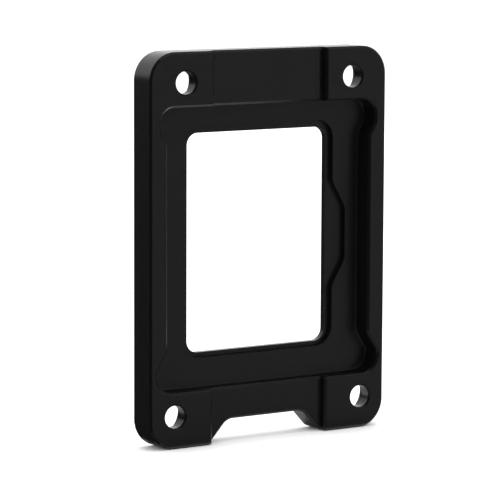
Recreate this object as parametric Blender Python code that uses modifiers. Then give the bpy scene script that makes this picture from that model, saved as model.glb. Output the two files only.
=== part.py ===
"""Retention frame for a processor socket, milled from one plate of aluminium.

The frame stands on its lower short edge, on the two feet beside the notch, with
its board side towards -Y.  It is modelled lying flat, board side up at z = 0 and
outer side at z = -PLATE_THICKNESS, and then turned upright, so that the middle of
the lower edge is at the origin.
"""

import math

import bmesh
import bpy
from mathutils import Vector

MM = 0.001

# Plate, with one chamfer along every outer rim and the rim of the pocket
PLATE_WIDTH = 51.0 * MM
PLATE_LENGTH = 71.0 * MM
PLATE_THICKNESS = 6.0 * MM
PLATE_CORNER_RADIUS = 5.2 * MM
EDGE_CHAMFER = 0.4 * MM

# Socket pocket, milled from the board side.  Each rail is measured from the plate's edge.
POCKET_DEPTH = 3.65 * MM
UPPER_RAIL = 9.85 * MM
LOWER_RAIL = 10.15 * MM
SIDE_RAIL = 3.7 * MM
POCKET_FOOT_RADIUS = 0.4 * MM

# Corner reliefs, where the pocket widens towards its four corners
UPPER_RELIEF_RAIL = 2.3 * MM
UPPER_RELIEF_LENGTH = 4.3 * MM
UPPER_RELIEF_TAPER = 2.4 * MM
UPPER_RELIEF_RADIUS = 2.7 * MM
LOWER_RELIEF_RAIL = 1.4 * MM
LOWER_RELIEF_LENGTH = 4.1 * MM
LOWER_RELIEF_TAPER = 3.4 * MM
LOWER_RELIEF_RADIUS = 3.5 * MM
RELIEF_BLEND_RADIUS = 1.5 * MM

# Window for the processor's lid.  Each floor is what the pocket leaves beside the window.
UPPER_FLOOR = 5.05 * MM
LOWER_FLOOR = 6.2 * MM
SIDE_FLOOR = 6.75 * MM
WINDOW_CORNER_RADIUS = 2.2 * MM
WINDOW_CHAMFER = 0.3 * MM

# Seat around the window, which presses on the lid's lower step and its two side ears
SEAT_DEPTH = 0.95 * MM
SEAT_SIDE_LEDGE = 1.1 * MM
SEAT_UPPER_LEDGE = 1.4 * MM
SEAT_LOWER_LEDGE = 0.9 * MM
SEAT_CORNER_RADIUS = 3.5 * MM
EAR_REACH = 2.85 * MM
EAR_FLAT_LENGTH = 9.8 * MM
EAR_TAPER = 4.8 * MM
EAR_BLEND_RADIUS = 2.5 * MM

# Shallow recess across the middle of each short rail, between two pads
RECESS_DEPTH = 1.3 * MM
UPPER_PAD_WIDTH = 13.4 * MM
LOWER_PAD_WIDTH = 13.2 * MM

# Notch in the lower edge, between the two feet
NOTCH_HEIGHT = 4.15 * MM
NOTCH_FLANK_RUN = 3.8 * MM
FOOT_LENGTH = 13.5 * MM
NOTCH_TOP_RADIUS = 2.6 * MM
NOTCH_FOOT_RADIUS = 2.8 * MM

# Screw holes, with counterbores for the screw heads in the outer side.  The counterbores
# are as wide as the wall left between them and the pocket allows.
HOLE_DIAMETER = 4.1 * MM
HOLE_CHAMFER = 0.3 * MM
HOLE_WEB = 2.2 * MM
COUNTERBORE_WALL = 0.3 * MM
UPPER_HOLE_SIDE_INSET = 7.5 * MM
UPPER_HOLE_END_INSET = 5.5 * MM
LOWER_HOLE_SIDE_INSET = 5.3 * MM
LOWER_HOLE_END_INSET = 5.85 * MM

# Facets
ARC_STEP = math.radians(11.25)
HOLE_SIDES = 32
FOOT_SEGMENTS = 2

# Modelling allowances
CUT_OVERRUN = 1.0 * MM
FLARE_OVERRUN = 0.05 * MM
TOUCH = 0.001 * MM
SHARP_ANGLE = math.radians(30.0)
FLAT_ANGLE = math.radians(0.5)
SIDE_SLOPE = 0.5
STEP_SLACK = 0.01

COLLECTION_NAME = "socket_retention_frame"
CUTTER_COLLECTION_NAME = "cutters"
FRAME_NAME = "retention_frame"


def clear_scene():
    """Remove every object of the open scene."""
    for obj in list(bpy.data.objects):
        bpy.data.objects.remove(obj, do_unlink=True)


def new_collection(name):
    """Make a collection and link it to the scene."""
    collection = bpy.data.collections.new(name)
    bpy.context.scene.collection.children.link(collection)
    return collection


def rounded_path(corners):
    """Points of a closed outline, where each corner is (x, y, fillet radius)."""
    path = []
    for index, (x, y, radius) in enumerate(corners):
        corner = Vector((x, y))
        before = (Vector(corners[index - 1][:2]) - corner).normalized()
        after = (Vector(corners[(index + 1) % len(corners)][:2]) - corner).normalized()
        if radius == 0.0:
            path.append(corner)
            continue
        half = before.angle(after) / 2.0
        start = corner + before * (radius / math.tan(half))
        centre = corner + (before + after).normalized() * (radius / math.sin(half))
        turn = math.pi - 2.0 * half
        if before.cross(after) > 0.0:
            turn = -turn
        steps = max(2, math.ceil(abs(turn) / ARC_STEP - STEP_SLACK))
        spoke = start - centre
        for step in range(steps + 1):
            angle = turn * step / steps
            cosine = math.cos(angle)
            sine = math.sin(angle)
            turned = Vector((spoke.x * cosine - spoke.y * sine, spoke.x * sine + spoke.y * cosine))
            path.append(centre + turned)
    return path


def mirrored(right_side):
    """Close an outline from its right side, listed from bottom to top."""
    left_side = [(-x, y, radius) for x, y, radius in reversed(right_side)]
    return rounded_path(right_side + left_side)


def plate_path():
    """Outline of the plate, with the notch and its two feet."""
    side = PLATE_WIDTH / 2.0
    end = PLATE_LENGTH / 2.0
    mouth = side - FOOT_LENGTH
    return mirrored([
        (mouth - NOTCH_FLANK_RUN, -end + NOTCH_HEIGHT, NOTCH_TOP_RADIUS),
        (mouth, -end, NOTCH_FOOT_RADIUS),
        (side, -end, PLATE_CORNER_RADIUS),
        (side, end, PLATE_CORNER_RADIUS),
    ])


def pocket_path():
    """Outline of the socket pocket, wider at its four corners than along its sides."""
    side = PLATE_WIDTH / 2.0
    top = PLATE_LENGTH / 2.0 - UPPER_RAIL
    bottom = -PLATE_LENGTH / 2.0 + LOWER_RAIL
    lower_relief = bottom + LOWER_RELIEF_LENGTH
    upper_relief = top - UPPER_RELIEF_LENGTH
    return mirrored([
        (side - LOWER_RELIEF_RAIL, bottom, LOWER_RELIEF_RADIUS),
        (side - LOWER_RELIEF_RAIL, lower_relief, RELIEF_BLEND_RADIUS),
        (side - SIDE_RAIL, lower_relief + LOWER_RELIEF_TAPER, RELIEF_BLEND_RADIUS),
        (side - SIDE_RAIL, upper_relief - UPPER_RELIEF_TAPER, RELIEF_BLEND_RADIUS),
        (side - UPPER_RELIEF_RAIL, upper_relief, RELIEF_BLEND_RADIUS),
        (side - UPPER_RELIEF_RAIL, top, UPPER_RELIEF_RADIUS),
    ])


def window_sides():
    """The window's right side, its bottom and its top, as x, y and y."""
    right = PLATE_WIDTH / 2.0 - SIDE_RAIL - SIDE_FLOOR
    bottom = -PLATE_LENGTH / 2.0 + LOWER_RAIL + LOWER_FLOOR
    top = PLATE_LENGTH / 2.0 - UPPER_RAIL - UPPER_FLOOR
    return right, bottom, top


def window_path():
    """Outline of the window."""
    right, bottom, top = window_sides()
    return mirrored([
        (right, bottom, WINDOW_CORNER_RADIUS),
        (right, top, WINDOW_CORNER_RADIUS),
    ])


def seat_path():
    """Outline of the seat, a ledge around the window that bows out for the lid's ears."""
    right, bottom, top = window_sides()
    side = right + SEAT_SIDE_LEDGE
    ear = side + EAR_REACH
    middle = (bottom + top) / 2.0
    flat = EAR_FLAT_LENGTH / 2.0
    return mirrored([
        (side, bottom - SEAT_LOWER_LEDGE, SEAT_CORNER_RADIUS),
        (side, middle - flat - EAR_TAPER, EAR_BLEND_RADIUS),
        (ear, middle - flat, EAR_BLEND_RADIUS),
        (ear, middle + flat, EAR_BLEND_RADIUS),
        (side, middle + flat + EAR_TAPER, EAR_BLEND_RADIUS),
        (side, top + SEAT_UPPER_LEDGE, SEAT_CORNER_RADIUS),
    ])


def recess_section(pad_width):
    """Section across a rail's recess, whose sides flare at the top to chamfer its two steps."""
    side = PLATE_WIDTH / 2.0 - pad_width
    flare_width = EDGE_CHAMFER + CUT_OVERRUN
    return mirrored([
        (side, -RECESS_DEPTH - EDGE_CHAMFER, 0.0),
        (side, -EDGE_CHAMFER, 0.0),
        (side + flare_width, CUT_OVERRUN, 0.0),
    ])


def hole_places():
    """Middles of the four screw holes."""
    side = PLATE_WIDTH / 2.0
    end = PLATE_LENGTH / 2.0
    upper = Vector((side - UPPER_HOLE_SIDE_INSET, end - UPPER_HOLE_END_INSET))
    lower = Vector((side - LOWER_HOLE_SIDE_INSET, LOWER_HOLE_END_INSET - end))
    return {
        "upper_left": Vector((-upper.x, upper.y)),
        "upper_right": upper,
        "lower_left": Vector((-lower.x, lower.y)),
        "lower_right": lower,
    }


def tidy_faces(bm):
    """Weld touching points and join faces that lie in one plane."""
    bmesh.ops.remove_doubles(bm, verts=bm.verts, dist=TOUCH)
    bmesh.ops.dissolve_limit(bm, angle_limit=FLAT_ANGLE, verts=bm.verts, edges=bm.edges)


def flatten_transform(solid):
    """Carry an object's place into its mesh."""
    solid.data.transform(solid.matrix_world)
    solid.matrix_world.identity()


def prism(name, path, top, bottom, collection):
    """Extrude a flat outline between two heights and return it as a closed mesh object."""
    outline = bpy.data.curves.new(name, type="CURVE")
    outline.dimensions = "2D"
    outline.fill_mode = "BOTH"
    outline.extrude = (top - bottom) / 2.0
    spline = outline.splines.new("POLY")
    spline.points.add(len(path) - 1)
    for point, place in zip(spline.points, path):
        point.co = (place.x, place.y, 0.0, 1.0)
    spline.use_cyclic_u = True
    guide = bpy.data.objects.new(name + "_outline", outline)
    guide.location.z = (top + bottom) / 2.0
    collection.objects.link(guide)
    bpy.context.view_layer.update()

    evaluated = guide.evaluated_get(bpy.context.evaluated_depsgraph_get())
    mesh = bpy.data.meshes.new_from_object(evaluated)
    mesh.name = name
    weld_caps(mesh)
    solid = bpy.data.objects.new(name, mesh)
    solid.matrix_world = guide.matrix_world.copy()
    collection.objects.link(solid)
    bpy.data.objects.remove(guide, do_unlink=True)
    bpy.data.curves.remove(outline)
    return solid


def weld_caps(mesh):
    """Join a filled curve's two caps to its sides, with every face pointing out."""
    bm = bmesh.new()
    bm.from_mesh(mesh)
    tidy_faces(bm)
    bmesh.ops.recalc_face_normals(bm, faces=bm.faces)
    bm.to_mesh(mesh)
    bm.free()


def round_lower_edges(solid, radius):
    """Round a cutter's lower rim, as the corner radius of an end mill does."""
    bm = bmesh.new()
    bm.from_mesh(solid.data)
    lowest = min(vert.co.z for vert in bm.verts)
    rim = [edge for edge in bm.edges if all(vert.co.z < lowest + TOUCH for vert in edge.verts)]
    bmesh.ops.bevel(
        bm,
        geom=rim,
        offset=radius,
        offset_type="OFFSET",
        segments=FOOT_SEGMENTS,
        profile=0.5,
        affect="EDGES",
        clamp_overlap=False,
    )
    bm.to_mesh(solid.data)
    bm.free()


def flare(cutter, rim, end, width):
    """Widen a cutter at 45 degrees towards one end, so that it chamfers the rim it cuts there."""
    start = rim - math.copysign(width, end - rim)
    bm = bmesh.new()
    bm.from_mesh(cutter.data)
    parts = list(bm.verts) + list(bm.edges) + list(bm.faces)
    bmesh.ops.bisect_plane(bm, geom=parts, plane_co=(0.0, 0.0, start), plane_no=(0.0, 0.0, 1.0))
    bm.normal_update()
    moves = {}
    for vert in bm.verts:
        if abs(vert.co.z - end) < TOUCH:
            first, second = [face.normal for face in vert.link_faces if abs(face.normal.z) < SIDE_SLOPE]
            moves[vert] = (first + second) / (1.0 + first.dot(second)) * abs(end - start)
    for vert, move in moves.items():
        vert.co += move
    bm.to_mesh(cutter.data)
    bm.free()


def cut_from(body, cutters):
    """Subtract each cutter from a body."""
    for cutter in cutters:
        cut = body.modifiers.new(cutter.name, "BOOLEAN")
        cut.operation = "DIFFERENCE"
        cut.solver = "EXACT"
        cut.object = cutter


def keep_result(body):
    """Swap a body's mesh for what its modifiers make of it, with flat faces joined."""
    bpy.context.view_layer.update()
    evaluated = body.evaluated_get(bpy.context.evaluated_depsgraph_get())
    result = bpy.data.meshes.new_from_object(evaluated)
    result.name = body.name
    body.modifiers.clear()
    body.data = result
    bm = bmesh.new()
    bm.from_mesh(result)
    tidy_faces(bm)
    bm.to_mesh(result)
    bm.free()


def plate(name, top, collection):
    """The plate's outline from its outer side to a level, with both rims chamfered."""
    body = prism(name, plate_path(), top, -PLATE_THICKNESS, collection)
    flatten_transform(body)
    chamfer = body.modifiers.new("rim_chamfers", "BEVEL")
    chamfer.limit_method = "ANGLE"
    chamfer.angle_limit = SHARP_ANGLE
    chamfer.offset_type = "OFFSET"
    chamfer.width = EDGE_CHAMFER
    chamfer.segments = 1
    chamfer.use_clamp_overlap = False
    return body


def pocket_cutter(name, rim, collection):
    """Cutter for the socket pocket, flared for the chamfer of its rim."""
    cutter = prism(name, pocket_path(), rim + FLARE_OVERRUN, -POCKET_DEPTH, collection)
    flatten_transform(cutter)
    round_lower_edges(cutter, POCKET_FOOT_RADIUS)
    flare(cutter, rim, rim + FLARE_OVERRUN, EDGE_CHAMFER)
    return cutter


def window_cutter(name, collection):
    """Cutter for the window, flared for the chamfer of its rim on the outer side."""
    rim = -PLATE_THICKNESS
    cutter = prism(name, window_path(), CUT_OVERRUN, rim - FLARE_OVERRUN, collection)
    flatten_transform(cutter)
    flare(cutter, rim, rim - FLARE_OVERRUN, WINDOW_CHAMFER)
    return cutter


def counterbore_radius():
    """Radius that leaves the least wall beside the pocket and beside the outer rims."""
    insets = (UPPER_HOLE_SIDE_INSET, UPPER_HOLE_END_INSET, LOWER_HOLE_SIDE_INSET, LOWER_HOLE_END_INSET)
    upper_room = UPPER_RAIL - UPPER_HOLE_END_INSET
    lower_room = LOWER_RAIL - LOWER_HOLE_END_INSET
    edge_room = min(insets) - EDGE_CHAMFER - HOLE_CHAMFER
    return min(upper_room, lower_room, edge_room) - COUNTERBORE_WALL


def hole_cutter(name, place, collection):
    """A turned cutter for a screw hole, its counterbore and the chamfers at both ends."""
    hole = HOLE_DIAMETER / 2.0
    counterbore = counterbore_radius()
    flared = HOLE_CHAMFER + CUT_OVERRUN
    profile = [
        (0.0, CUT_OVERRUN),
        (hole + flared, CUT_OVERRUN),
        (hole, -HOLE_CHAMFER),
        (hole, -HOLE_WEB),
        (counterbore, -HOLE_WEB),
        (counterbore, HOLE_CHAMFER - PLATE_THICKNESS),
        (counterbore + flared, -PLATE_THICKNESS - CUT_OVERRUN),
        (0.0, -PLATE_THICKNESS - CUT_OVERRUN),
    ]
    bm = bmesh.new()
    verts = [bm.verts.new((radius, 0.0, height)) for radius, height in profile]
    for upper, lower in zip(verts, verts[1:]):
        bm.edges.new((upper, lower))
    mesh = bpy.data.meshes.new(name)
    bm.to_mesh(mesh)
    bm.free()
    cutter = bpy.data.objects.new(name, mesh)
    cutter.location = (place.x, place.y, 0.0)
    collection.objects.link(cutter)
    turn = cutter.modifiers.new("turn", "SCREW")
    turn.steps = HOLE_SIDES
    turn.render_steps = HOLE_SIDES
    turn.use_merge_vertices = True
    turn.merge_threshold = TOUCH
    return cutter


def recess_block(name, pad_width, rail, end, collection):
    """A block over the whole recess of one rail, from inside the pocket to past the plate's end."""
    length = abs(end) + CUT_OVERRUN
    start = abs(end) - rail - CUT_OVERRUN
    block = prism(name, recess_section(pad_width), length, start, collection)
    flatten_transform(block)
    block.rotation_euler.x = math.radians(90.0)
    if end > 0.0:
        block.rotation_euler.z = math.pi
    bpy.context.view_layer.update()
    flatten_transform(block)
    return block


def make_recess_cutters(collection):
    """One cutter for each short rail, which leaves the lower and chamfered level standing."""
    end = PLATE_LENGTH / 2.0
    level = plate("low_level", -RECESS_DEPTH, collection)
    cut_from(level, [pocket_cutter("cut_low_pocket", -RECESS_DEPTH, collection)])
    cutters = [
        recess_block("cut_upper_recess", UPPER_PAD_WIDTH, UPPER_RAIL, end, collection),
        recess_block("cut_lower_recess", LOWER_PAD_WIDTH, LOWER_RAIL, -end, collection),
    ]
    for cutter in cutters:
        cut_from(cutter, [level])
    return cutters


def make_cutters(collection):
    """Every shape that is milled out of the plate, in the order of the cuts."""
    cutters = [
        pocket_cutter("cut_pocket", 0.0, collection),
        prism("cut_seat", seat_path(), CUT_OVERRUN, -POCKET_DEPTH - SEAT_DEPTH, collection),
        window_cutter("cut_window", collection),
    ]
    cutters += make_recess_cutters(collection)
    for corner, place in hole_places().items():
        cutters.append(hole_cutter("cut_hole_" + corner, place, collection))
    return cutters


def black_anodised():
    """Satin black finish of bead-blasted and anodised aluminium."""
    material = bpy.data.materials.new("black_anodised_aluminium")
    material.use_nodes = True
    shader = material.node_tree.nodes["Principled BSDF"]
    shader.inputs["Base Color"].default_value = (0.018, 0.018, 0.019, 1.0)
    shader.inputs["Metallic"].default_value = 0.0
    shader.inputs["Roughness"].default_value = 0.45
    return material


def build_frame(parts, cutters):
    """Mill the chamfered plate and stand it on its lower edge."""
    frame = plate(FRAME_NAME, 0.0, parts)
    cut_from(frame, make_cutters(cutters))
    keep_result(frame)
    for cutter in cutters.objects:
        cutter.hide_render = True
        cutter.display_type = "WIRE"
    frame.data.materials.clear()
    frame.data.materials.append(black_anodised())
    frame.data.shade_smooth()
    frame.data.set_sharp_from_angle(angle=SHARP_ANGLE)
    stand_up([frame] + list(cutters.objects))
    return frame


def stand_up(solids):
    """Hang the solids on an empty that turns the flat frame upright."""
    stand = bpy.data.objects.new("stand", None)
    stand.rotation_euler.x = math.radians(90.0)
    stand.location = (0.0, -PLATE_THICKNESS / 2.0, PLATE_LENGTH / 2.0)
    bpy.data.collections[COLLECTION_NAME].objects.link(stand)
    for solid in solids:
        solid.parent = stand
    bpy.context.view_layer.update()


def main():
    """Build the retention frame."""
    clear_scene()
    parts = new_collection(COLLECTION_NAME)
    cutters = new_collection(CUTTER_COLLECTION_NAME)
    build_frame(parts, cutters)


main()
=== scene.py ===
"""Scene for a processor-socket retention frame, milled from aluminium and anodised black.

The milled frame is modelled here again as a finer piece, which stands where the CAD
node stands.  It is shaped lying flat, in the plan of its short and long sides, with the
board side at height 0, and is then stood up on its lower short edge.
"""

import logging
import math
from collections.abc import Callable
from dataclasses import dataclass, field
from enum import Enum

import bmesh
import bpy
from mathutils import Matrix, Vector


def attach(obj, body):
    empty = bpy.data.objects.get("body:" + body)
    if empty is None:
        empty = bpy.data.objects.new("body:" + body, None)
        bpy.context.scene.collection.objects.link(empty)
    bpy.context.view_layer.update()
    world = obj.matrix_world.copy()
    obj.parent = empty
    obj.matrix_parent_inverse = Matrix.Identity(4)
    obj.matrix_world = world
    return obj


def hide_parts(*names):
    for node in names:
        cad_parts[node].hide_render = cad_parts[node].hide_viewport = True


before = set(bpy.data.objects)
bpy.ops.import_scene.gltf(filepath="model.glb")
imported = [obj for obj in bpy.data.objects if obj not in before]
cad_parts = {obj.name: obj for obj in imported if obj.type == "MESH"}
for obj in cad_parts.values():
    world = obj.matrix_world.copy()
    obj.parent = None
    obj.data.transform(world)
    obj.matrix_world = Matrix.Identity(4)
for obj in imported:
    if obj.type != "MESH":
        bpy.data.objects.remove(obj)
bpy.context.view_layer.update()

LOG = logging.getLogger("retention_frame_scene")
MM = 0.001

# An arc is drawn in steps of about ARC_STEP: ARC_SLACK of a step too much adds none
ARC_STEP = math.radians(5.0)
ARC_SLACK = 0.01
FEWEST_STEPS = 2

# Places nearer than NEAR count as one place, and corners nearer than WELD are joined
NEAR = 0.002 * MM
WELD = NEAR / 10.0

# How far the low level stands proud, and how far plain and flared cutters run past a face
CLEARANCE = 0.001 * MM
OVERRUN = 1.0 * MM
FLARED_OVERRUN = OVERRUN / 20.0

# Faces that bend less than FLAT_ANGLE are one plane, and less than SMOOTH_ANGLE look round
FLAT_ANGLE = math.radians(0.2)
SMOOTH_ANGLE = math.radians(24.0)


class Pick(Enum):
    """Kinds of mesh element that can be selected."""

    VERTS = "VERT"
    EDGES = "EDGE"
    FACES = "FACE"


class Bevelled(Enum):
    """What a bevel takes off: the corners of an outline or the rims of a solid."""

    CORNERS = "VERTICES"
    RIMS = "EDGES"


class Axis(Enum):
    """Directions of the flat frame."""

    ACROSS = (1.0, 0.0, 0.0)
    ALONG = (0.0, 1.0, 0.0)
    UP = (0.0, 0.0, 1.0)


class Rail(Enum):
    """The two short rails of the frame."""

    UPPER = "upper"
    LOWER = "lower"


# Modelling by hand


def select_only(piece: bpy.types.Object) -> None:
    """Select one object, which becomes the active one, and nothing else.

    Args:
        piece: The object.
    """
    bpy.ops.object.select_all(action="DESELECT")
    bpy.context.view_layer.objects.active = piece
    piece.select_set(True)


def pick(kind: Pick, test: Callable[[Vector], bool]) -> None:
    """Select the elements of the mesh in edit mode whose every corner passes a test.

    Args:
        kind: The elements to select.
        test: Takes a corner's place and says whether it counts.
    """
    bpy.ops.mesh.select_mode(type=kind.value)
    bpy.ops.mesh.select_all(action="DESELECT")
    mesh = bpy.context.edit_object.data
    bm = bmesh.from_edit_mesh(mesh)
    elements = {Pick.VERTS: bm.verts, Pick.EDGES: bm.edges, Pick.FACES: bm.faces}[kind]
    for element in elements:
        corners = [element] if kind is Pick.VERTS else element.verts
        if all(test(corner.co) for corner in corners):
            element.select_set(True)
    bm.select_flush_mode()
    bmesh.update_edit_mesh(mesh)


def slice_at(axis: Axis, distance: float) -> None:
    """Cut a line through the open faces, where they meet a plane square to an axis.

    Args:
        axis: The axis.
        distance: The plane's distance from the origin along it.
    """
    bpy.ops.mesh.select_all(action="SELECT")
    bpy.ops.mesh.bisect(plane_co=distance * Vector(axis.value), plane_no=axis.value)


def widen(share: float) -> None:
    """Draw what is selected in or out from the middle line, to a share of its width."""
    bpy.ops.transform.resize(value=(share, 1.0, 1.0), center_override=(0.0, 0.0, 0.0))


def face_outwards() -> None:
    """Turn all faces of the open solid outwards."""
    bpy.ops.mesh.select_all(action="SELECT")
    bpy.ops.mesh.normals_make_consistent(inside=False)


def bevel(target: Bevelled, width: float, segments: int) -> None:
    """Bevel what is selected.

    Args:
        target: Whether corners or rims are selected.
        width: Distance from the corner or rim to the bevel's edges.
        segments: One for a chamfer, more for a round.
    """
    bpy.ops.mesh.bevel(
        offset_type="OFFSET", offset=width, segments=segments, profile=0.5,
        affect=target.value, clamp_overlap=False,
    )


def tangent(before: Vector, corner: Vector, after: Vector, radius: float) -> tuple[float, int]:
    """Work out how a corner is rounded.

    Args:
        before: The corner before it on the outline.
        corner: The corner to round.
        after: The corner after it.
        radius: The fillet's radius.

    Returns:
        The distance from the corner to the arc's ends, and the arc's number of steps.
    """
    opening = (before - corner).angle(after - corner)
    turn = math.pi - opening
    steps = max(FEWEST_STEPS, math.ceil(turn / ARC_STEP - ARC_SLACK))
    return radius / math.tan(opening / 2.0), steps


@dataclass(frozen=True)
class Station:
    """A pair of mirrored corners of an outline, at one distance along the frame."""

    half_width: float
    along: float
    radius: float = 0.0


def start_plane(name: str, lowest: Station, top: float) -> None:
    """Add a plane from an outline's lowest station to its highest, open in edit mode.

    Args:
        name: The new object's name.
        lowest: The station at the lower end.
        top: The distance along the frame of the upper end.
    """
    bpy.ops.object.select_all(action="DESELECT")
    middle = (lowest.along + top) / 2.0
    bpy.ops.mesh.primitive_plane_add(size=1.0, location=(0.0, middle, 0.0))
    sheet = bpy.context.object
    sheet.name = name
    sheet.data.name = name
    sheet.scale = (2.0 * lowest.half_width, top - lowest.along, 1.0)
    bpy.ops.object.transform_apply(location=True, rotation=True, scale=True)
    bpy.ops.object.mode_set(mode="EDIT")


def shape_stations(stations: list[Station]) -> None:
    """Cut the open plane across at each station and draw it in or out to its width.

    Args:
        stations: The outline's corner pairs, from the lower end to the upper end.
    """
    for station in stations[1:-1]:
        slice_at(Axis.ALONG, station.along)
    for station in stations[1:]:
        pick(Pick.VERTS, lambda place, along=station.along: abs(place.y - along) < NEAR)
        widen(station.half_width / stations[0].half_width)
    merge_flat()


def merge_flat() -> None:
    """Join the faces that lie in one plane, and lines that run straight on."""
    bpy.ops.mesh.select_all(action="SELECT")
    bpy.ops.mesh.dissolve_limited(angle_limit=FLAT_ANGLE)


def round_pair(before: Vector, corner: Vector, after: Vector, radius: float) -> None:
    """Round one corner of the open outline and its mirror image.

    Args:
        before: The corner before it on the outline.
        corner: The corner to round, on the right side.
        after: The corner after it.
        radius: The fillet's radius.
    """
    offset, steps = tangent(before, corner, after, radius)
    pick(Pick.VERTS, lambda place: (Vector((abs(place.x), place.y)) - corner).length < NEAR)
    bevel(Bevelled.CORNERS, offset, steps)


def round_stations(stations: list[Station]) -> None:
    """Round every corner of the open outline that has a radius.

    Args:
        stations: The outline's corner pairs, from the lower end to the upper end.
    """
    places = [Vector((station.half_width, station.along)) for station in stations]
    first = Vector((-places[0].x, places[0].y))
    last = Vector((-places[-1].x, places[-1].y))
    ring = [first, *places, last]
    for index, station in enumerate(stations):
        if station.radius > 0.0:
            round_pair(ring[index], ring[index + 1], ring[index + 2], station.radius)


def raise_sheet(bottom: float, top: float) -> None:
    """Extrude the open flat outline into a closed solid between two heights.

    Args:
        bottom: Height of its lower cap.
        top: Height of its upper cap.
    """
    bpy.ops.mesh.select_all(action="SELECT")
    bpy.ops.transform.translate(value=(0.0, 0.0, bottom))
    bpy.ops.mesh.extrude_region_move(TRANSFORM_OT_translate={"value": (0.0, 0.0, top - bottom)})
    face_outwards()


def bevel_rim(height: float, width: float, segments: int) -> None:
    """Bevel the rim of the open solid's cap at one height.

    Args:
        height: The cap's height.
        width: Distance from the rim to the bevel's edges.
        segments: One for a chamfer, more for a round.
    """
    pick(Pick.EDGES, lambda place: abs(place.z - height) < NEAR)
    bevel(Bevelled.RIMS, width, segments)


def flare_rim(rim: float, end: float, width: float) -> None:
    """Widen the open cutter at 45 degrees towards one end, for the chamfer that it leaves.

    Args:
        rim: Height of the surface that the cutter breaks through.
        end: Height of the cutter's own end beyond it.
        width: The chamfer's width.
    """
    outwards = math.copysign(1.0, end - rim)
    start = rim - outwards * width
    slice_at(Axis.UP, start)
    # With the cap gone the rim's normals lie level, so that it moves straight outwards
    pick(Pick.FACES, lambda place: abs(place.z - end) < NEAR)
    bpy.ops.mesh.delete(type="ONLY_FACE")
    pick(Pick.VERTS, lambda place: abs(place.z - end) < NEAR)
    bpy.ops.transform.shrink_fatten(value=abs(end - start), use_even_offset=True)
    bpy.ops.mesh.edge_face_add()
    face_outwards()


def close_editing() -> bpy.types.Object:
    """Leave edit mode and return the object that was open."""
    bpy.ops.object.mode_set(mode="OBJECT")
    return bpy.context.object


def copy_of(piece: bpy.types.Object, name: str, place: Vector) -> bpy.types.Object:
    """Copy a piece with a mesh of its own and move the copy.

    Args:
        piece: What to copy.
        name: The copy's name.
        place: How far the copy moves.

    Returns:
        The copy.
    """
    select_only(piece)
    bpy.ops.object.duplicate(linked=False)
    twin = bpy.context.object
    twin.name = name
    twin.data.name = name
    bpy.ops.transform.translate(value=place)
    bpy.ops.object.transform_apply(location=True, rotation=True, scale=True)
    return twin


def swell(piece: bpy.types.Object, distance: float) -> None:
    """Move all the faces of a solid outwards.

    Args:
        piece: The solid.
        distance: How far its faces move.
    """
    select_only(piece)
    bpy.ops.object.mode_set(mode="EDIT")
    bpy.ops.mesh.select_all(action="SELECT")
    bpy.ops.transform.shrink_fatten(value=distance, use_even_offset=True)
    bpy.ops.object.mode_set(mode="OBJECT")


def cut(body: bpy.types.Object, cutters: list[bpy.types.Object], keep: bool = False) -> None:
    """Subtract cutters from a body, and remove them unless they are to be kept.

    Args:
        body: What is cut.
        cutters: The shapes to take away, in order.
        keep: Whether the cutters stay, for another cut.
    """
    select_only(body)
    for cutter in cutters:
        bpy.ops.object.modifier_add(type="BOOLEAN")
        subtraction = body.modifiers[-1]
        subtraction.operation = "DIFFERENCE"
        subtraction.solver = "EXACT"
        subtraction.object = cutter
        bpy.ops.object.modifier_apply(modifier=subtraction.name)
    bpy.ops.object.mode_set(mode="EDIT")
    bpy.ops.mesh.select_all(action="SELECT")
    bpy.ops.mesh.remove_doubles(threshold=WELD)
    merge_flat()
    bpy.ops.object.mode_set(mode="OBJECT")
    if not keep:
        for cutter in cutters:
            bpy.data.objects.remove(cutter, do_unlink=True)


# The milled shapes


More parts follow.
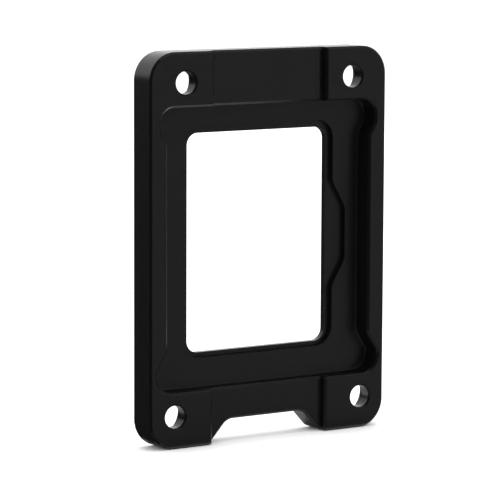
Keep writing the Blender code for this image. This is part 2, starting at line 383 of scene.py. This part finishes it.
@dataclass
class Blank:
    """The plate as it is sawn and milled outside, with its notch and two feet."""

    width: float = 51.0 * MM
    length: float = 71.0 * MM
    thickness: float = 6.0 * MM
    corner_radius: float = 5.2 * MM
    chamfer: float = 0.4 * MM
    notch_height: float = 4.15 * MM
    flank_run: float = 3.8 * MM
    foot_length: float = 13.5 * MM
    notch_top_radius: float = 2.6 * MM
    notch_foot_radius: float = 2.8 * MM

    @property
    def side(self) -> float:
        """Distance from the middle line to a long edge."""
        return self.width / 2.0

    @property
    def end(self) -> float:
        """Distance from the middle to a short edge."""
        return self.length / 2.0

    def outline(self, name: str) -> None:
        """Draw the plate's outline as one flat face, open in edit mode.

        Args:
            name: The new object's name.
        """
        notch_top = self.notch_height - self.end
        mouth = self.side - self.foot_length
        notch_side = mouth - self.flank_run
        start_plane(name, Station(self.side, -self.end), self.end)
        slice_at(Axis.ALONG, notch_top)
        for side in (-notch_side, notch_side):
            slice_at(Axis.ACROSS, side)
        reach = notch_side + NEAR
        pick(Pick.FACES, lambda place: abs(place.x) < reach and place.y < notch_top + NEAR)
        bpy.ops.mesh.delete(type="FACE")
        pick(Pick.VERTS, lambda place: abs(place.x) < mouth and place.y < NEAR - self.end)
        widen(mouth / notch_side)
        merge_flat()
        inner = Vector((notch_side, notch_top))
        foot = Vector((mouth, -self.end))
        heel = Vector((self.side, -self.end))
        shoulder = Vector((self.side, self.end))
        round_pair(Vector((-notch_side, notch_top)), inner, foot, self.notch_top_radius)
        round_pair(inner, foot, heel, self.notch_foot_radius)
        round_pair(foot, heel, shoulder, self.corner_radius)
        round_pair(heel, shoulder, Vector((-self.side, self.end)), self.corner_radius)

    def build(self, name: str, top: float) -> bpy.types.Object:
        """Build the plate up to one level, with both rims chamfered.

        Args:
            name: The new object's name.
            top: Height of the board side.

        Returns:
            The plate.
        """
        self.outline(name)
        raise_sheet(-self.thickness, top)
        bevel_rim(top, self.chamfer, 1)
        bevel_rim(-self.thickness, self.chamfer, 1)
        return close_editing()


@dataclass
class Pocket:
    """The socket pocket, milled from the board side and relieved at its four corners."""

    blank: Blank
    depth: float = 3.65 * MM
    upper_rail: float = 9.85 * MM
    lower_rail: float = 10.15 * MM
    side_rail: float = 3.7 * MM
    foot_radius: float = 0.4 * MM
    upper_relief_rail: float = 2.3 * MM
    upper_relief_length: float = 4.3 * MM
    upper_relief_taper: float = 2.4 * MM
    upper_relief_radius: float = 2.7 * MM
    lower_relief_rail: float = 1.4 * MM
    lower_relief_length: float = 4.1 * MM
    lower_relief_taper: float = 3.4 * MM
    lower_relief_radius: float = 3.5 * MM
    blend_radius: float = 1.5 * MM
    foot_steps: int = 5

    def stations(self) -> list[Station]:
        """Lay out the pocket's outline.

        Returns:
            Its corner pairs, from the lower end to the upper end.
        """
        side = self.blank.side - self.side_rail
        lower_side = self.blank.side - self.lower_relief_rail
        upper_side = self.blank.side - self.upper_relief_rail
        top = self.blank.end - self.upper_rail
        bottom = self.lower_rail - self.blank.end
        lower_relief = bottom + self.lower_relief_length
        upper_relief = top - self.upper_relief_length
        return [
            Station(lower_side, bottom, self.lower_relief_radius),
            Station(lower_side, lower_relief, self.blend_radius),
            Station(side, lower_relief + self.lower_relief_taper, self.blend_radius),
            Station(side, upper_relief - self.upper_relief_taper, self.blend_radius),
            Station(upper_side, upper_relief, self.blend_radius),
            Station(upper_side, top, self.upper_relief_radius),
        ]

    def cutter(self, name: str, rim: float) -> bpy.types.Object:
        """Model the cutter that leaves the pocket, its rounded foot and its chamfered rim.

        Args:
            name: The new object's name.
            rim: Height of the level that it is cut from.

        Returns:
            The cutter.
        """
        stations = self.stations()
        start_plane(name, stations[0], stations[-1].along)
        shape_stations(stations)
        round_stations(stations)
        end = rim + FLARED_OVERRUN
        raise_sheet(-self.depth, end)
        bevel_rim(-self.depth, self.foot_radius, self.foot_steps)
        flare_rim(rim, end, self.blank.chamfer)
        return close_editing()


@dataclass
class Window:
    """The window for the processor's lid and the eared seat around it."""

    pocket: Pocket
    upper_floor: float = 5.05 * MM
    lower_floor: float = 6.2 * MM
    side_floor: float = 6.75 * MM
    corner_radius: float = 2.2 * MM
    chamfer: float = 0.3 * MM
    seat_depth: float = 0.95 * MM
    side_ledge: float = 1.1 * MM
    upper_ledge: float = 1.4 * MM
    lower_ledge: float = 0.9 * MM
    seat_corner_radius: float = 3.5 * MM
    ear_reach: float = 2.85 * MM
    ear_flat_length: float = 9.8 * MM
    ear_taper: float = 4.8 * MM
    ear_blend_radius: float = 2.5 * MM

    def sides(self) -> tuple[float, float, float]:
        """Find where the window's edges lie.

        Returns:
            Its half width, its lower edge and its upper edge.
        """
        pocket = self.pocket
        blank = pocket.blank
        right = blank.side - pocket.side_rail - self.side_floor
        bottom = pocket.lower_rail + self.lower_floor - blank.end
        top = blank.end - pocket.upper_rail - self.upper_floor
        return right, bottom, top

    def cutter(self) -> bpy.types.Object:
        """Model the cutter for the window, flared where it leaves the outer side.

        Returns:
            The cutter.
        """
        right, bottom, top = self.sides()
        stations = [Station(right, along, self.corner_radius) for along in (bottom, top)]
        outer = -self.pocket.blank.thickness
        end = outer - FLARED_OVERRUN
        start_plane("cut_window", stations[0], top)
        round_stations(stations)
        raise_sheet(end, OVERRUN)
        flare_rim(outer, end, self.chamfer)
        return close_editing()

    def seat_cutter(self) -> bpy.types.Object:
        """Model the cutter for the seat, which bows out on both sides for the lid's ears.

        Returns:
            The cutter.
        """
        right, bottom, top = self.sides()
        side = right + self.side_ledge
        ear = side + self.ear_reach
        middle = (bottom + top) / 2.0
        flat = self.ear_flat_length / 2.0
        stations = [
            Station(side, bottom - self.lower_ledge, self.seat_corner_radius),
            Station(side, middle - flat - self.ear_taper, self.ear_blend_radius),
            Station(ear, middle - flat, self.ear_blend_radius),
            Station(ear, middle + flat, self.ear_blend_radius),
            Station(side, middle + flat + self.ear_taper, self.ear_blend_radius),
            Station(side, top + self.upper_ledge, self.seat_corner_radius),
        ]
        start_plane("cut_seat", stations[0], stations[-1].along)
        shape_stations(stations)
        round_stations(stations)
        raise_sheet(-self.pocket.depth - self.seat_depth, OVERRUN)
        return close_editing()


@dataclass
class RailRecess:
    """A shallow recess across the middle of a short rail, between two pads."""

    pocket: Pocket
    rail: Rail
    pad_width: float
    depth: float = 1.3 * MM

    def cutter(self, level: bpy.types.Object) -> bpy.types.Object:
        """Model the block over the recess, less the lower level that stays standing.

        Args:
            level: The plate up to the recess's floor.

        Returns:
            The cutter.
        """
        blank = self.pocket.blank
        rails = {Rail.UPPER: self.pocket.upper_rail, Rail.LOWER: self.pocket.lower_rail}
        side = blank.side - self.pad_width
        flare = blank.chamfer + OVERRUN
        start = blank.end - rails[self.rail] - OVERRUN
        stop = blank.end + OVERRUN
        if self.rail is Rail.LOWER:
            start, stop = -stop, -start
        start_plane(f"cut_{self.rail.value}_recess", Station(side, start), stop)
        raise_sheet(-self.depth - blank.chamfer, -blank.chamfer)
        pick(Pick.FACES, lambda place: place.z > -blank.chamfer - NEAR)
        bpy.ops.mesh.extrude_region_move(TRANSFORM_OT_translate={"value": (0.0, 0.0, flare)})
        widen((side + flare) / side)
        block = close_editing()
        cut(block, [level], keep=True)
        return block


@dataclass
class ScrewHoles:
    """Four screw holes, with counterbores for the screw heads in the outer side."""

    blank: Blank
    diameter: float = 4.1 * MM
    chamfer: float = 0.3 * MM
    web: float = 2.2 * MM
    counterbore: float = 8.0 * MM
    upper_side_inset: float = 7.5 * MM
    upper_end_inset: float = 5.5 * MM
    lower_side_inset: float = 5.3 * MM
    lower_end_inset: float = 5.85 * MM
    sides: int = 96

    def places(self) -> dict[str, Vector]:
        """Lay out the four holes.

        Returns:
            Their middles, by corner.
        """
        side, end = self.blank.side, self.blank.end
        upper = Vector((side - self.upper_side_inset, end - self.upper_end_inset, 0.0))
        lower = Vector((side - self.lower_side_inset, self.lower_end_inset - end, 0.0))
        mirror = Matrix.Diagonal((-1.0, 1.0, 1.0))
        return {
            "upper_right": upper,
            "upper_left": mirror @ upper,
            "lower_right": lower,
            "lower_left": mirror @ lower,
        }

    def drill(self, name: str, radius: float, end: float, rim: float,
              stop: float) -> bpy.types.Object:
        """Model a round cutter at the origin that leaves a chamfered rim.

        Args:
            name: The new object's name.
            radius: Radius of the bore.
            end: Height of its flared end.
            rim: Height of the surface that it breaks through.
            stop: Height of its other end.

        Returns:
            The cutter.
        """
        bpy.ops.object.select_all(action="DESELECT")
        bpy.ops.mesh.primitive_cylinder_add(
            vertices=self.sides, radius=radius, depth=abs(end - stop),
            location=(0.0, 0.0, (end + stop) / 2.0),
        )
        bpy.context.object.name = name
        bpy.ops.object.transform_apply(location=True, rotation=True, scale=True)
        bpy.ops.object.mode_set(mode="EDIT")
        flare_rim(rim, end, self.chamfer)
        return close_editing()

    def cutters(self) -> list[bpy.types.Object]:
        """Model one bore and one counterbore, and copy them to the four places.

        Returns:
            The eight cutters.
        """
        outer = -self.blank.thickness
        bore = self.drill("cut_bore", self.diameter / 2.0, FLARED_OVERRUN, 0.0, outer - OVERRUN)
        head_end = outer - FLARED_OVERRUN
        head = self.drill("cut_head", self.counterbore / 2.0, head_end, outer, -self.web)
        made = []
        for corner, place in self.places().items():
            made.append(copy_of(bore, "cut_bore_" + corner, place))
            made.append(copy_of(head, "cut_head_" + corner, place))
        for pattern in (bore, head):
            bpy.data.objects.remove(pattern, do_unlink=True)
        return made


# Finishes


def linear(code: str) -> tuple[float, float, float, float]:
    """Turn an sRGB hex colour to linear.

    Args:
        code: Six hex digits.

    Returns:
        Linear red, green, blue and an alpha of one.
    """
    shares = [int(code[start:start + 2], 16) / 255.0 for start in (0, 2, 4)]
    red, green, blue = [
        share / 12.92 if share <= 0.04045 else ((share + 0.055) / 1.055) ** 2.4 for share in shares
    ]
    return red, green, blue, 1.0


def empty_tree(owner: bpy.types.Material | bpy.types.World) -> bpy.types.NodeTree:
    """Give a material or the world a node tree with nothing in it.

    Args:
        owner: The material or the world.

    Returns:
        The tree.
    """
    owner.use_nodes = True
    owner.node_tree.nodes.clear()
    return owner.node_tree


def add_node(tree: bpy.types.NodeTree, kind: str, settings: dict | None = None,
             inputs: dict | None = None, links: dict | None = None) -> bpy.types.Node:
    """Add a node with its settings, its constants and its links.

    Args:
        tree: The node tree.
        kind: The node's type.
        settings: Attributes of the node.
        inputs: Constants for its inputs, by name or number.
        links: Output sockets for its inputs, by name or number.

    Returns:
        The new node.
    """
    node = tree.nodes.new(kind)
    for name, value in (settings or {}).items():
        setattr(node, name, value)
    for name, value in (inputs or {}).items():
        node.inputs[name].default_value = value
    for name, socket in (links or {}).items():
        tree.links.new(socket, node.inputs[name])
    return node


@dataclass(frozen=True)
class BlackAnodisedBlasted:
    """Aluminium, bead-blasted and then anodised and dyed black.

    The eye sees a deep neutral black with a soft satin gloss, an even fine grain from
    the beads, and pale glints only where a face is seen at a flat angle.
    """

    colour: str = "0e0e0f"
    worn_colour: str = "121213"
    dye_patch: float = 9.0 * MM
    ior: float = 1.5
    roughness: float = 0.32
    roughness_spread: float = 0.03
    grain: float = 0.25 * MM
    grain_depth: float = 0.01 * MM
    grain_strength: float = 0.35
    grain_low: float = 0.3
    grain_high: float = 0.7

    def make(self) -> bpy.types.Material:
        """Build the material.

        Returns:
            The material.
        """
        material = bpy.data.materials.new("black_anodised_bead_blasted_aluminium")
        tree = empty_tree(material)
        place = add_node(tree, "ShaderNodeTexCoord").outputs["Object"]
        # Bead craters are about 0.05 mm across; they are drawn coarser so that they show
        blasting = add_node(
            tree, "ShaderNodeTexNoise",
            settings={"noise_dimensions": "3D"},
            inputs={"Scale": 1.0 / self.grain, "Detail": 2.0, "Roughness": 0.6},
            links={"Vector": place},
        )
        dye = add_node(
            tree, "ShaderNodeTexNoise",
            inputs={"Scale": 1.0 / self.dye_patch, "Detail": 3.0, "Roughness": 0.5},
            links={"Vector": place},
        )
        colour = add_node(
            tree, "ShaderNodeMix",
            settings={"data_type": "RGBA"},
            inputs={6: linear(self.colour), 7: linear(self.worn_colour)},
            links={0: dye.outputs["Fac"]},
        )
        gloss = add_node(
            tree, "ShaderNodeMapRange",
            inputs={"From Min": self.grain_low, "From Max": self.grain_high,
                    "To Min": self.roughness - self.roughness_spread,
                    "To Max": self.roughness + self.roughness_spread},
            links={"Value": blasting.outputs["Fac"]},
        )
        bump = add_node(
            tree, "ShaderNodeBump",
            inputs={"Strength": self.grain_strength, "Distance": self.grain_depth},
            links={"Height": blasting.outputs["Fac"]},
        )
        # The dyed oxide hides the metal, so only its clear skin shines
        shader = add_node(
            tree, "ShaderNodeBsdfPrincipled",
            inputs={"Metallic": 0.0, "IOR": self.ior},
            links={"Base Color": colour.outputs[2], "Roughness": gloss.outputs["Result"],
                   "Normal": bump.outputs["Normal"]},
        )
        add_node(tree, "ShaderNodeOutputMaterial", links={"Surface": shader.outputs["BSDF"]})
        return material


# The milled frame


@dataclass
class MilledFrame:
    """The whole retention frame, one solid piece of aluminium."""

    blank: Blank = field(default_factory=Blank)
    upper_pad_width: float = 13.4 * MM
    lower_pad_width: float = 13.2 * MM
    finish: BlackAnodisedBlasted = field(default_factory=BlackAnodisedBlasted)

    def build(self) -> bpy.types.Object:
        """Mill the plate and stand it up.

        Returns:
            The milled frame.
        """
        pocket = Pocket(self.blank)
        window = Window(pocket)
        recesses = (
            RailRecess(pocket, Rail.UPPER, self.upper_pad_width),
            RailRecess(pocket, Rail.LOWER, self.lower_pad_width),
        )
        level_height = -recesses[0].depth
        level = self.blank.build("low_level", level_height)
        cut(level, [pocket.cutter("cut_low_pocket", level_height)])
        # The level stands proud by a trace, so that no recess wall lies in the plate's own
        swell(level, CLEARANCE)
        blocks = [recess.cutter(level) for recess in recesses]
        bpy.data.objects.remove(level, do_unlink=True)

        body = self.blank.build("milled_frame", 0.0)
        cut(body, [pocket.cutter("cut_pocket", 0.0), window.seat_cutter(), window.cutter()])
        cut(body, blocks)
        cut(body, ScrewHoles(self.blank).cutters())
        self.stand_up(body)
        return body

    def stand_up(self, body: bpy.types.Object) -> None:
        """Turn the flat frame upright, on its lower edge, with its place in its mesh.

        Args:
            body: The milled frame.
        """
        select_only(body)
        body.rotation_euler = (math.radians(90.0), 0.0, 0.0)
        body.location = (0.0, -self.blank.thickness / 2.0, self.blank.end)
        bpy.ops.object.transform_apply(location=True, rotation=True, scale=True)
        bpy.ops.object.shade_smooth_by_angle(angle=SMOOTH_ANGLE)

    def dress(self, body: bpy.types.Object) -> None:
        """Give the frame its finish and hand it to the fixed frame.

        Args:
            body: The milled frame.
        """
        body.data.materials.clear()
        body.data.materials.append(self.finish.make())
        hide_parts("retention_frame")
        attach(body, "root")


# Studio and camera


@dataclass
class Softbox:
    """A soft rectangular lamp that looks at the middle of the object."""

    name: str
    place: tuple[float, float, float]
    width: float
    height: float
    power: float
    aim_height: float = 35.0 * MM

    def build(self) -> None:
        """Hang the lamp and turn it to the object."""
        lamp = bpy.data.lights.new(self.name, "AREA")
        lamp.shape = "RECTANGLE"
        lamp.size = self.width
        lamp.size_y = self.height
        lamp.energy = self.power
        holder = bpy.data.objects.new(self.name, lamp)
        holder.location = self.place
        aim = Vector((0.0, 0.0, self.aim_height)) - Vector(self.place)
        holder.rotation_euler = aim.to_track_quat("-Z", "Y").to_euler()
        bpy.context.scene.collection.objects.link(holder)


@dataclass
class PaintedReflectionScreen:
    """A curved grey sheet round the object, seen in its gloss alone: a painted reflection of dim
    surroundings.

    Angles are in degrees: turns run anticlockwise from the right, seen from above, and
    heights run up from the middle of the object.
    """

    name: str
    colour: str
    turns: tuple[float, float]
    heights: tuple[float, float]
    radius: float = 0.5
    middle: float = 0.0355
    step: float = 5.0
    slack: float = 0.1
    foot: float = 1.0 * MM

    def covers(self, place: Vector) -> bool:
        """Tell whether a place on the ball lies within the screen.

        Args:
            place: The place.

        Returns:
            True on the screen and on its rim.
        """
        rise = max(-1.0, min(1.0, (place.z - self.middle) / self.radius))
        height = math.degrees(math.asin(rise))
        high_enough = self.heights[0] - self.slack < height
        low_enough = height < self.heights[1] + self.slack
        # At the poles of the ball every turn is the same place
        if abs(height) > 90.0 - self.slack:
            return high_enough and low_enough
        bearing = math.degrees(math.atan2(place.y, place.x))
        turn = (bearing - self.turns[0] + self.slack) % 360.0
        span = self.turns[1] - self.turns[0] + 2.0 * self.slack
        return turn < span and high_enough and low_enough

    def build(self) -> None:
        """Cut the screen out of a ball, and trim it just above the table."""
        bpy.ops.object.select_all(action="DESELECT")
        bpy.ops.mesh.primitive_uv_sphere_add(
            segments=round(360.0 / self.step), ring_count=round(180.0 / self.step),
            radius=self.radius, location=(0.0, 0.0, self.middle),
        )
        screen = bpy.context.object
        screen.name = self.name
        bpy.ops.object.transform_apply(location=True, rotation=True, scale=True)
        bpy.ops.object.mode_set(mode="EDIT")
        pick(Pick.FACES, self.covers)
        bpy.ops.mesh.select_all(action="INVERT")
        bpy.ops.mesh.delete(type="FACE")
        bpy.ops.mesh.select_all(action="SELECT")
        bpy.ops.mesh.bisect(
            plane_co=(0.0, 0.0, self.foot), plane_no=Axis.UP.value, clear_inner=True,
        )
        bpy.ops.object.mode_set(mode="OBJECT")
        # This sheet's grey is a painted reflection, seen only in the object's gloss
        paint_into_gloss(screen, self.colour)


@dataclass
class PaintedShadeCard:
    """A flat grey card on the table, seen in the object's gloss alone: painted shade of the table
    in its reflections.

    Its ends are in metres: across from the left to the right, and along from the front
    to the back.
    """

    name: str
    colour: str
    across: tuple[float, float]
    along: tuple[float, float]
    lift: float = 0.5 * MM

    def build(self) -> None:
        """Lay the card just above the table."""
        bpy.ops.object.select_all(action="DESELECT")
        middle = (sum(self.across) / 2.0, sum(self.along) / 2.0, self.lift)
        bpy.ops.mesh.primitive_plane_add(size=1.0, location=middle)
        card = bpy.context.object
        card.name = self.name
        card.scale = (self.across[1] - self.across[0], self.along[1] - self.along[0], 1.0)
        bpy.ops.object.transform_apply(location=True, rotation=True, scale=True)
        # The card's grey is painted shade of the table, seen only in the object's gloss
        paint_into_gloss(card, self.colour)


def paint_into_gloss(screen: bpy.types.Object, colour: str) -> None:
    """Give a sheet a flat grey, a painted reflection, and hide it from all rays but those of
    gloss.

    Args:
        screen: The screen.
        colour: The sRGB hex colour of the painted reflection.
    """
    material = bpy.data.materials.new(screen.name)
    tree = empty_tree(material)
    # The grey stands in for light and shade in the reflections alone: a painted reflection
    painted_grey = add_node(tree, "ShaderNodeBsdfDiffuse", inputs={"Color": linear(colour)})
    add_node(tree, "ShaderNodeOutputMaterial", links={"Surface": painted_grey.outputs[0]})
    screen.data.materials.append(material)
    screen.visible_camera = False
    screen.visible_diffuse = False
    screen.visible_transmission = False
    screen.visible_shadow = False


@dataclass
class Studio:
    """A plain white table in a pale room, with two soft lamps and grey sheets of painted
    reflection.

    The camera looks a little down, so the upright faces mirror the cards of painted table shade,
    and the curved sheets of painted reflection round it fill the rest of their gloss.
    """

    table_colour: str = "e6e6e6"
    table_gain: float = 1.6
    table_radius: float = 4.0
    table_sides: int = 96
    world_strength: float = 0.76
    lamps: tuple[Softbox, ...] = (
        Softbox("back_softbox", (0.24, 0.60, 0.24), 0.5, 0.3, 0.4),
        Softbox("top_softbox", (0.05, 0.10, 0.80), 0.6, 0.6, 1.7),
    )
    # Grey sheets seen only in gloss paint the reflections: dim surroundings round the object, and
    # the table's shade under it
    painted_reflections: tuple[PaintedReflectionScreen | PaintedShadeCard, ...] = (
        PaintedReflectionScreen("right_painted_reflection", "a6a6a6", (-90.0, 35.0), (-5.0, 65.0)),
        PaintedReflectionScreen("left_painted_reflection", "303030", (100.0, 180.0), (-5.0, 10.0)),
        PaintedReflectionScreen("front_left_painted_reflection", "0c0c0c", (180.0, 270.0), (-5.0, 10.0)),
        PaintedReflectionScreen("upper_left_painted_reflection", "3c3c3c", (180.0, 270.0), (10.0, 65.0)),
        PaintedReflectionScreen("upper_painted_reflection", "868686", (-180.0, 180.0), (65.0, 90.0)),
        PaintedShadeCard("front_painted_shade", "929292", (-0.028, 0.5), (-0.5, -0.0035)),
        PaintedShadeCard("front_left_painted_shade", "0c0c0c", (-0.5, -0.028), (-0.5, -0.0035)),
        PaintedShadeCard("left_painted_shade", "3a3a3a", (-0.5, -0.0235), (-0.0035, 0.5)),
        PaintedShadeCard("middle_painted_shade", "f0f0f0", (-0.0235, 0.5), (-0.0035, 0.0095)),
        PaintedShadeCard("back_painted_shade", "6a6a6a", (-0.0235, 0.5), (0.045, 0.5)),
    )

    def build(self) -> None:
        """Lay the table, light the room, hang the lamps and stand the sheets of painted
        reflection.
        """
        self.lay_table()
        self.light_room()
        for lamp in self.lamps:
            lamp.build()
        for screen in self.painted_reflections:
            screen.build()

    def lay_table(self) -> None:
        """Lay the table, which shows white and keeps the object's shadow."""
        bpy.ops.object.select_all(action="DESELECT")
        bpy.ops.mesh.primitive_circle_add(
            vertices=self.table_sides, radius=self.table_radius, fill_type="NGON",
        )
        table = bpy.context.object
        table.name = "table"
        material = bpy.data.materials.new("white_table")
        tree = empty_tree(material)
        bright = (self.table_gain, self.table_gain, self.table_gain, 1.0)
        cloth = add_node(
            tree, "ShaderNodeBsdfDiffuse", inputs={"Color": linear(self.table_colour)},
        )
        white = add_node(tree, "ShaderNodeBsdfDiffuse", inputs={"Color": bright})
        shown = add_node(
            tree, "ShaderNodeMixShader",
            links={0: seen_rays(tree), 1: cloth.outputs[0], 2: white.outputs[0]},
        )
        add_node(tree, "ShaderNodeOutputMaterial", links={"Surface": shown.outputs[0]})
        table.data.materials.append(material)

    def light_room(self) -> None:
        """Give the room a soft plain light, and a white look to the camera and in gloss."""
        world = bpy.data.worlds.new("pale_room")
        bpy.context.scene.world = world
        tree = empty_tree(world)
        air, white = [
            add_node(
                tree, "ShaderNodeBackground",
                inputs={"Color": linear("ffffff"), "Strength": strength},
            )
            for strength in (self.world_strength, 1.0)
        ]
        shown = add_node(
            tree, "ShaderNodeMixShader",
            links={0: seen_rays(tree), 1: air.outputs[0], 2: white.outputs[0]},
        )
        add_node(tree, "ShaderNodeOutputWorld", links={"Surface": shown.outputs[0]})


def seen_rays(tree: bpy.types.NodeTree) -> bpy.types.NodeSocket:
    """Tell the rays of the camera, gloss and clear materials from those that carry light.

    Args:
        tree: The node tree.

    Returns:
        A socket that is one for the rays that show a background.
    """
    path = add_node(tree, "ShaderNodeLightPath")
    largest = path.outputs["Is Camera Ray"]
    for ray in ("Is Glossy Ray", "Is Transmission Ray"):
        largest = add_node(
            tree, "ShaderNodeMath", settings={"operation": "MAXIMUM"},
            links={0: largest, 1: path.outputs[ray]},
        ).outputs[0]
    return largest


@dataclass
class Viewpoint:
    """The camera, placed and turned as the photograph was taken."""

    place: tuple[float, float, float] = (-0.29107, -0.43717, 0.10112)
    right: tuple[float, float, float] = (0.83486, -0.55044, 0.00433)
    up: tuple[float, float, float] = (0.0659, 0.10775, 0.99199)
    forward: tuple[float, float, float] = (0.5465, 0.82789, -0.12623)
    focal_length: float = 209.6
    sensor_width: float = 36.0
    nearest: float = 0.01
    farthest: float = 50.0

    def build(self) -> None:
        """Set the camera up."""
        lens = bpy.data.cameras.new("camera")
        lens.lens = self.focal_length
        lens.sensor_width = self.sensor_width
        lens.clip_start = self.nearest
        lens.clip_end = self.farthest
        camera = bpy.data.objects.new("camera", lens)
        back = -Vector(self.forward)
        turn = Matrix((self.right, self.up, back)).transposed().to_4x4()
        camera.matrix_world = Matrix.Translation(self.place) @ turn
        bpy.context.scene.collection.objects.link(camera)
        bpy.context.scene.camera = camera


def main() -> None:
    """Build the milled frame, the studio and the camera."""
    logging.basicConfig(level=logging.INFO, format="%(message)s")
    milled = MilledFrame()
    body = milled.build()
    milled.dress(body)
    LOG.info("milled_frame: %d faces", len(body.data.polygons))
    Studio().build()
    Viewpoint().build()
    scene = bpy.context.scene
    scene.view_settings.view_transform = "Standard"


if __name__ == "__main__":
    main()
